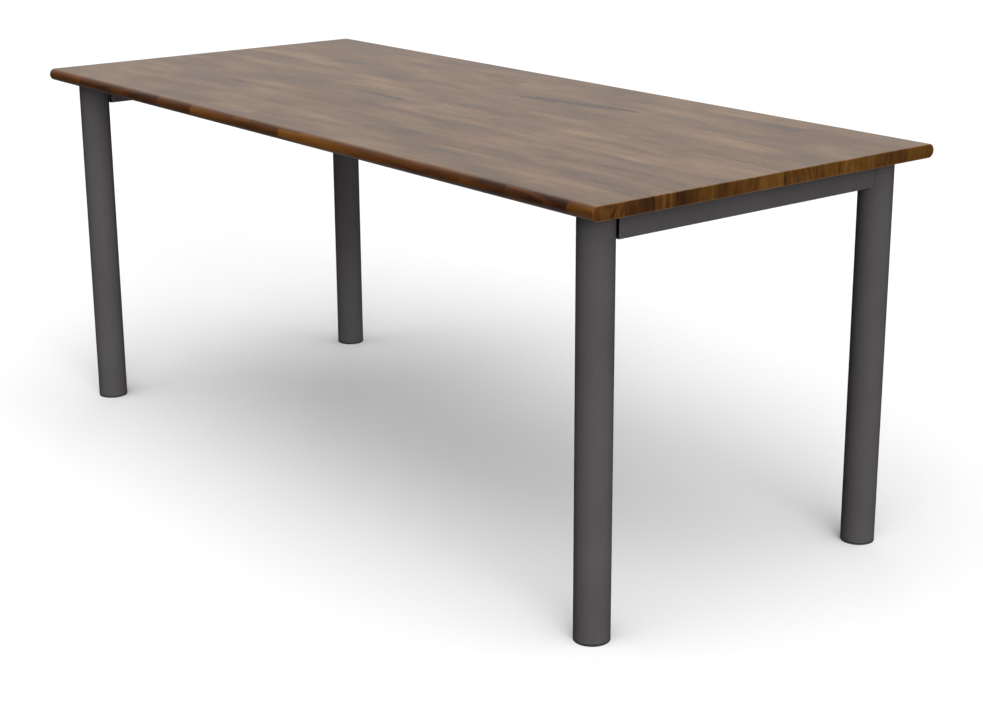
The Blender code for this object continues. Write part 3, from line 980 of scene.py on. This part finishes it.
class BUTCHER_OT_screws(Operator):
    """Build the wood screws through the leg plates"""

    bl_idname = "butcher_table.build_screws"
    bl_label = "Build Wood Screws"

    def execute(self, context):
        settings = context.scene.butcher_table_fittings
        material = shared_material("zinc_plated_steel", make_zinc, settings)
        head_height = 2.8 * MM
        for corner in CORNERS:
            for number in range(1, 5):
                node = f"plate_screw_{corner}_{number}"
                middle, size = box_of(node)
                low = middle[2] - size[2] / 2
                points = headed_screw(
                    size[0] / 2, head_height, shank_radius=2.2 * MM, reach=size[2] - head_height,
                    pitch=settings.screw_pitch, kind="cross", drive=5.2 * MM, depth=1.5 * MM,
                    dome=1.5 * MM, taper=5 * MM)
                turn = 0.7 * number + 1.3 * CORNERS.index(corner)
                points = points @ np.array(Matrix.Rotation(turn, 3, "Z")).T
                points += (middle[0], middle[1], low + head_height)
                mesh = grid_mesh(f"wood_screw_{corner}_{number}", points)
                mark_edges(mesh, lambda place: place[:, 2] < low + 0.4 * head_height)
                add_piece(mesh, material, "table", (node,))
        return {"FINISHED"}


class BUTCHER_OT_bolts(Operator):
    """Build the bolts and threaded blocks that hold the rails to the legs"""

    bl_idname = "butcher_table.build_bolts"
    bl_label = "Build Rail Bolts"

    def execute(self, context):
        settings = context.scene.butcher_table_fittings
        material = shared_material("zinc_plated_steel", make_zinc, settings)
        head_height = 8.0 * MM
        for corner in CORNERS:
            middle, size = box_of(f"crossbar_bolt_{corner}")
            inwards = -np.sign(middle[1])
            points = headed_screw(
                size[0] / 2, head_height, shank_radius=4.0 * MM, reach=size[1] - head_height,
                pitch=settings.bolt_pitch, kind="hexagon", drive=6.0 * MM, depth=4.0 * MM)
            head = middle[1] - inwards * (size[1] / 2 - head_height)
            placed = np.stack([points[..., 0], head + inwards * points[..., 2], points[..., 1]], axis=-1)
            placed += (middle[0], 0.0, middle[2])
            mesh = grid_mesh(f"rail_bolt_{corner}", placed)
            mark_edges(mesh)
            add_piece(mesh, material, "table", (f"crossbar_bolt_{corner}",))
            self.build_block(corner, material)
        return {"FINISHED"}

    def build_block(self, corner, material):
        """A block with round edges and a bolt hole: outlines from the outside in to the hole."""
        middle, size = box_of(f"crossbar_block_{corner}")
        steps, easing = 8, 0.5 * MM
        half = size[1] / 2
        hole = round_hole(4.4 * MM, steps)
        outer = rounded_rectangle(size[0], size[2], 2.5 * MM, steps)
        eased = rounded_rectangle(size[0] - 2 * easing, size[2] - 2 * easing, 2.0 * MM, steps)
        section = lofted([eased, outer, outer, eased, hole, hole],
                         [-half, easing - half, half - easing, half, half, -half])
        mesh = grid_mesh(f"rail_block_{corner}", section[..., [0, 2, 1]] + middle, ring=True)
        mark_edges(mesh)
        add_piece(mesh, material, "table", (f"crossbar_block_{corner}",))


class BUTCHER_OT_feet(Operator):
    """Build the levelling feet: sockets, threaded stems and pads"""

    bl_idname = "butcher_table.build_feet"
    bl_label = "Build Levelling Feet"

    def execute(self, context):
        settings = context.scene.butcher_table_fittings
        plastic = shared_material("black_foot_plastic", make_plastic, settings)
        zinc = shared_material("zinc_plated_steel", make_zinc, settings)
        for corner in CORNERS:
            self.build_socket(corner, plastic)
            self.build_stem(corner, settings, zinc)
            self.build_pad(corner, plastic)
        return {"FINISHED"}

    def build_socket(self, corner, material):
        """The plug in the leg's end: a flange with three grip ribs and a boss round the thread."""
        middle, size = box_of(f"foot_socket_{corner}")
        low = middle[2] - size[2] / 2
        out, bore, boss, flange = size[0] / 2, 5.1 * MM, 9.0 * MM, 6.0 * MM
        rib = 0.25 * MM
        ring = [(bore + 0.3 * MM, 0.0), (out - 0.3 * MM, 0.0), (out, 0.3 * MM), (out, 1.2 * MM),
                (out - rib, 1.5 * MM), (out - rib, 2.3 * MM), (out, 2.6 * MM), (out, 3.1 * MM),
                (out - rib, 3.4 * MM), (out - rib, 4.2 * MM), (out, 4.5 * MM), (out, 5.2 * MM),
                (out - 0.8 * MM, flange), (boss + 0.8 * MM, flange), (boss, flange + 0.8 * MM),
                (boss, size[2] - 0.6 * MM), (boss - 0.6 * MM, size[2]), (bore, size[2]), (bore, 0.3 * MM)]
        points = turned(ring, 64) + (middle[0], middle[1], low)
        mesh = grid_mesh(f"levelling_socket_{corner}", points, ring=True)
        mark_edges(mesh)
        add_piece(mesh, material, "table", (f"foot_socket_{corner}",))

    def build_stem(self, corner, settings, material):
        """The threaded stem: r(t, z) = root + (crest - root) ridge(t, z), eased at both ends."""
        middle, size = box_of(f"foot_screw_{corner}")
        radius, span = size[0] / 2, size[2]
        turn = turns(40)
        z = np.linspace(0.0, span, int(span / settings.stem_pitch * 8))[:, None]
        root = radius - 0.9 * MM
        ends = np.clip(np.minimum(z, span - z) / (1.0 * MM), 0.0, 1.0)
        ridge = thread_ridge(turn, z, settings.stem_pitch) * ends
        r = root - 0.4 * MM * (1.0 - ends) + (radius - root) * ridge
        points = wrapped(r, turn, z) + (middle[0], middle[1], middle[2] - span / 2)
        mesh = grid_mesh(f"levelling_stem_{corner}", points)
        place, _, _ = corner_layout(mesh)
        out = np.hypot(*(place[:, :2] - middle[:2]).T)
        set_corner_values(mesh, "edge", smooth_step(out, radius - 0.3 * MM, radius))
        add_piece(mesh, material, f"foot_screw_{corner}", (f"foot_screw_{corner}",))

    def build_pad(self, corner, material):
        """The pad: a turned profile with a round lower edge, a parting line and a ring underneath."""
        middle, size = box_of(f"foot_pad_{corner}")
        out, high = size[0] / 2, size[2]
        bore, floor = 5.1 * MM, 1.8 * MM
        edge, chamfer, line, parting = 0.8 * MM, 0.4 * MM, 0.12 * MM, 2.2 * MM
        profile = np.concatenate([
            [(8.0 * MM, 0.4 * MM), (16.0 * MM, 0.4 * MM), (16.6 * MM, 0.0), (20.0 * MM, 0.0)],
            arc((out - edge, edge), edge, -pi / 2, 0.0, 6),
            [(out, parting - line), (out - line, parting), (out, parting + line)],
            arc((out - chamfer, high - chamfer), chamfer, 0.0, pi / 2, 4),
            [(24.0 * MM, high), (23.4 * MM, high - 0.5 * MM), (9.6 * MM, high - 0.5 * MM), (9.0 * MM, high),
             (bore + 0.3 * MM, high), (bore, high - 0.3 * MM), (bore, floor)],
        ])
        low = middle[2] - high / 2
        mesh = grid_mesh(f"levelling_pad_{corner}", turned(profile, 96) + (middle[0], middle[1], low))
        mark_edges(mesh, lambda place: (place[:, 2] > low + 0.3 * MM) & (place[:, 2] < low + edge)
                   & (np.hypot(*(place[:, :2] - middle[:2]).T) > out - edge))
        add_piece(mesh, material, f"foot_pad_{corner}", (f"foot_pad_{corner}",))


# ---------------------------------------------------------------- stage

class BUTCHER_OT_stage(Operator):
    """Set the floor, the soft studio light and the camera"""

    bl_idname = "butcher_table.build_stage"
    bl_label = "Build Stage"

    def execute(self, context):
        settings = context.scene.butcher_table_stage
        self.build_floor(settings)
        self.build_light("key_light", settings.key_strength, KEY_WIDTH, KEY_SIDE)
        self.build_light("front_light", settings.front_strength, FRONT_WIDTH, FRONT_SIDE)
        self.build_light("back_light", settings.back_strength, BACK_WIDTH, BACK_SIDE)
        self.build_world(context.scene, settings)
        self.build_camera(context.scene, settings)
        context.scene.view_settings.view_transform = "Standard"
        return {"FINISHED"}

    def build_floor(self, settings):
        """A wide plane just under the feet that is seen from above only."""
        half, low = 40.0, -0.1 * MM
        mesh = bpy.data.meshes.new("floor")
        mesh.from_pydata([(-half, -half, low), (half, -half, low), (half, half, low), (-half, half, low)],
                         [], [(0, 1, 2, 3)])
        material, tree, shader = new_material("pale_floor")
        shader.inputs["Base Color"].default_value = solid(settings.floor_colour)
        shader.inputs["Roughness"].default_value = 1.0
        shader.inputs["Specular IOR Level"].default_value = 0.0
        clear = add_node(tree, "ShaderNodeBsdfTransparent")
        side = add_node(tree, "ShaderNodeNewGeometry").outputs["Backfacing"]
        mixed = add_node(tree, "ShaderNodeMixShader", {0: side, 1: shader.outputs[0], 2: clear.outputs[0]})
        tree.links.new(mixed.outputs[0], tree.nodes["Material Output"].inputs["Surface"])
        mesh.materials.append(material)
        floor = bpy.data.objects.new("floor", mesh)
        floor.visible_diffuse = False
        floor.visible_glossy = False
        bpy.context.scene.collection.objects.link(floor)

    def build_light(self, name, strength, width, side):
        """A sun of some angular width, shining from the given side without a glare."""
        light = bpy.data.lights.new(name, "SUN")
        light.energy = strength
        light.angle = radians(width)
        sun = bpy.data.objects.new(name, light)
        sun.rotation_mode = "QUATERNION"
        sun.rotation_quaternion = Vector(side).to_track_quat("Z", "Y")
        sun.visible_glossy = False
        bpy.context.scene.collection.objects.link(sun)

    def build_world(self, scene, settings):
        """A white dome: even above the horizon but for a lean to DOME_SIDE, and dim below it.

        Straight below it is brighter again, as the floor would be. A broad sheet of light at
        REAR_SIDE shows in gloss only, and the backdrop itself is plain white.
        """
        world = bpy.data.worlds.new("white_dome")
        world.use_nodes = True
        tree = world.node_tree
        background = tree.nodes["Background"]
        direction = add_node(tree, "ShaderNodeTexCoord").outputs["Generated"]
        height = add_node(tree, "ShaderNodeSeparateXYZ", {0: direction}).outputs[2]
        side = vector_calc(tree, "DOT_PRODUCT", direction, DOME_SIDE, "Value")
        towards = vector_calc(tree, "DOT_PRODUCT", direction, REAR_SIDE, "Value")
        rays = add_node(tree, "ShaderNodeLightPath").outputs
        rear = spread(tree, towards, 0.45, 0.95, 0.0, settings.rear_strength, smooth=True)
        rear = calc(tree, "MULTIPLY", rear, rays["Is Glossy Ray"])
        lit = calc(tree, "MULTIPLY_ADD", side, settings.dome_strength * settings.dome_lean,
                   settings.dome_strength)
        above = spread(tree, height, -0.02, 0.20, smooth=True)
        below = spread(tree, height, -0.85, -0.35, settings.floor_bounce, settings.ground_glow,
                       smooth=True)
        lit = calc(tree, "ADD", lit, rear)
        glow = add_node(tree, "ShaderNodeMix", {0: above, 2: below, 3: lit}).outputs[0]
        glow = add_node(tree, "ShaderNodeMix", {0: rays["Is Camera Ray"], 2: glow, 3: 1.0}).outputs[0]
        tree.links.new(glow, background.inputs["Strength"])
        background.inputs["Color"].default_value = (1.0, 1.0, 1.0, 1.0)
        scene.world = world

    def build_camera(self, scene, settings):
        """The camera stands off the front right corner and looks a little down."""
        data = bpy.data.cameras.new("camera")
        data.sensor_width = 36.0
        data.lens = settings.lens
        data.shift_x, data.shift_y = CAMERA_SHIFT
        data.clip_end = 200.0
        camera = bpy.data.objects.new("camera", data)
        camera.location = (*CAMERA_SPOT, settings.camera_height)
        camera.rotation_euler = (radians(CAMERA_TILT), 0.0, radians(CAMERA_TURN))
        scene.collection.objects.link(camera)
        scene.camera = camera


class BUTCHER_PT_table(Panel):
    """Sidebar panel with one button for each group of pieces"""

    bl_idname = "BUTCHER_PT_table"
    bl_label = "Butcher Block Table"
    bl_space_type = "VIEW_3D"
    bl_region_type = "UI"
    bl_category = "Butcher Block Table"

    def draw(self, context):
        for operator in OPERATORS:
            self.layout.operator(operator.bl_idname)
        for settings in (getattr(context.scene, name) for name in SETTINGS):
            column = self.layout.column(align=True)
            for key in settings.__annotations__:
                column.prop(settings, key)


OPERATORS = (BUTCHER_OT_stage, BUTCHER_OT_top, BUTCHER_OT_legs, BUTCHER_OT_plates, BUTCHER_OT_rails,
             BUTCHER_OT_screws, BUTCHER_OT_bolts, BUTCHER_OT_feet)
SETTINGS = {
    "butcher_table_top": TableTopSettings,
    "butcher_table_steel": SteelSettings,
    "butcher_table_fittings": FittingSettings,
    "butcher_table_stage": StageSettings,
}


def register():
    """Register the settings, operators and panel."""
    for name, settings in SETTINGS.items():
        bpy.utils.register_class(settings)
        setattr(bpy.types.Scene, name, PointerProperty(type=settings))
    for operator in OPERATORS:
        bpy.utils.register_class(operator)
    bpy.utils.register_class(BUTCHER_PT_table)


def unregister():
    """Take them all away again."""
    bpy.utils.unregister_class(BUTCHER_PT_table)
    for operator in reversed(OPERATORS):
        bpy.utils.unregister_class(operator)
    for name, settings in SETTINGS.items():
        delattr(bpy.types.Scene, name)
        bpy.utils.unregister_class(settings)


def main():
    """Build the whole table."""
    register()
    for operator in OPERATORS:
        group, name = operator.bl_idname.split(".")
        getattr(getattr(bpy.ops, group), name)()


if __name__ == "__main__":
    main()
